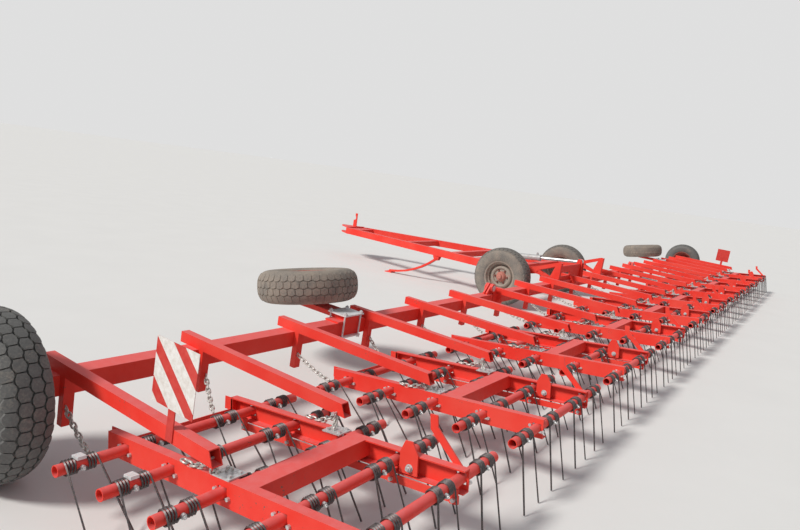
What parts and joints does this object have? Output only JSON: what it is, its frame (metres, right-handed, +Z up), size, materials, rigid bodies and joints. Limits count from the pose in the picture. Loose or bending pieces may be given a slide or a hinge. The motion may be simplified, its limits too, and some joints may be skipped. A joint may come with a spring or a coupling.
{
  "type": "trailed spring-tine harrow",
  "caption": "Wide trailed spring-tine harrow in working position: long jointed beam on wheels with hung tine sections, drawbar and tilt cylinder.",
  "frame": {"origin": "on the ground at the middle of the machine's width and length, standing in its working position", "axes": "+X to the machine's right across its width, +Y forwards towards the hitch, +Z up"},
  "size_m": [15.08, 6.0738, 0.7895],
  "materials": {
    "paint": "satin red-orange paint, dusty and chipped",
    "tine_bars": "red painted pipes with dark spring wire",
    "wheel": "dusty red painted steel",
    "tyre": "worn rubber with dried mud",
    "chain": "dull steel, slightly rusted",
    "pins": "zinc plated steel",
    "barrel": "grey paint",
    "rod": "hard chrome",
    "board": "red and white reflective stripes"
  },
  "bodies": {
    "drawbar": {"axle_tube": "paint", "left_drawbar_beam": "paint", "right_drawbar_beam": "paint", "drawbar_cross_members": "paint", "hitch": "paint", "stand_bracket": "paint"},
    "parking_stand": {"parking_stand": "paint"},
    "cylinder_barrel": {"cylinder_barrel": "barrel"},
    "cylinder_rod": {"cylinder_rod": "rod"},
    "centre_frame": {"centre_beam": "paint", "cylinder_anchor": "paint", "fold_pins": "pins", "left_tilt_mast": "paint", "right_tilt_mast": "paint", "centre_chains": "chain", "section_4_frame": "paint", "section_4_tines": "tine_bars", "section_5_frame": "paint", "section_5_tines": "tine_bars", "section_6_frame": "paint", "section_6_tines": "tine_bars", "section_7_frame": "paint", "section_7_tines": "tine_bars"},
    "left_wing": {"left_wing_beam": "paint", "left_transport_bracket": "paint", "left_warning_board": "board", "left_wing_chains": "chain", "section_1_frame": "paint", "section_1_tines": "tine_bars", "section_2_frame": "paint", "section_2_tines": "tine_bars", "section_3_frame": "paint", "section_3_tines": "tine_bars"},
    "right_wing": {"right_wing_beam": "paint", "right_transport_bracket": "paint", "right_warning_board": "board", "right_wing_chains": "chain", "section_8_frame": "paint", "section_8_tines": "tine_bars", "section_9_frame": "paint", "section_9_tines": "tine_bars", "section_10_frame": "paint", "section_10_tines": "tine_bars"},
    "left_centre_wheel": {"left_centre_tyre": "tyre", "left_centre_rim": "wheel"},
    "left_end_wheel": {"left_end_tyre": "tyre", "left_end_rim": "wheel"},
    "left_transport_wheel": {"left_transport_tyre": "tyre", "left_transport_rim": "wheel"},
    "right_centre_wheel": {"right_centre_tyre": "tyre", "right_centre_rim": "wheel"},
    "right_end_wheel": {"right_end_tyre": "tyre", "right_end_rim": "wheel"},
    "right_transport_wheel": {"right_transport_tyre": "tyre", "right_transport_rim": "wheel"}
  },
  "joints": [
    {"name": "beam_tilt", "type": "hinge", "parent": "drawbar", "child": "centre_frame", "pos_m": [0, -0.95708, 0.52301], "axis": [-1, 0, 0], "range_deg": [0, 92.4]},
    {"name": "barrel_swing", "type": "hinge", "parent": "drawbar", "child": "cylinder_barrel", "pos_m": [0, 0.0319, 0.532], "axis": [-1, 0, 0], "range_deg": [0, 10.49]},
    {"name": "rod_slide", "type": "slide", "parent": "cylinder_barrel", "child": "cylinder_rod", "axis": [0, 0.9963, -0.086], "range_m": [0, 0.3511]},
    {"name": "stand_swing", "type": "hinge", "parent": "drawbar", "child": "parking_stand", "pos_m": [-0.63625, 0.6919, 0.358], "axis": [1, 0, 0], "range_deg": [0, 21]},
    {"name": "left_wing_fold", "type": "hinge", "parent": "centre_frame", "child": "left_wing", "pos_m": [-2.75, -1.21271, 0.4849], "axis": [0, 0.9991, 0.0419], "range_deg": [-4, 90]},
    {"name": "right_wing_fold", "type": "hinge", "parent": "centre_frame", "child": "right_wing", "pos_m": [2.75, -1.21271, 0.4849], "axis": [0, -0.9991, -0.0419], "range_deg": [-4, 90]},
    {"name": "left_centre_wheel_spin", "type": "hinge", "parent": "drawbar", "child": "left_centre_wheel", "pos_m": [-1.1, -0.5831, 0.375], "axis": [1, 0, 0], "continuous": true},
    {"name": "left_end_wheel_spin", "type": "hinge", "parent": "left_wing", "child": "left_end_wheel", "pos_m": [-7.42, -1.2081, 0.375], "axis": [1, 0, 0], "continuous": true},
    {"name": "left_transport_wheel_spin", "type": "hinge", "parent": "left_wing", "child": "left_transport_wheel", "pos_m": [-5.075, -0.82154, 0.59638], "axis": [0, 0.184, 0.9829], "continuous": true},
    {"name": "right_centre_wheel_spin", "type": "hinge", "parent": "drawbar", "child": "right_centre_wheel", "pos_m": [1.1, -0.5831, 0.375], "axis": [1, 0, 0], "continuous": true},
    {"name": "right_end_wheel_spin", "type": "hinge", "parent": "right_wing", "child": "right_end_wheel", "pos_m": [7.42, -1.2081, 0.375], "axis": [1, 0, 0], "continuous": true},
    {"name": "right_transport_wheel_spin", "type": "hinge", "parent": "right_wing", "child": "right_transport_wheel", "pos_m": [5.075, -0.82154, 0.59638], "axis": [0, 0.184, 0.9829], "continuous": true}
  ],
  "couplings": [
    {"joint": "barrel_swing", "follows": "beam_tilt", "ratio": 0.11356},
    {"joint": "rod_slide", "follows": "beam_tilt", "m_per_rad": 0.21771}
  ]
}
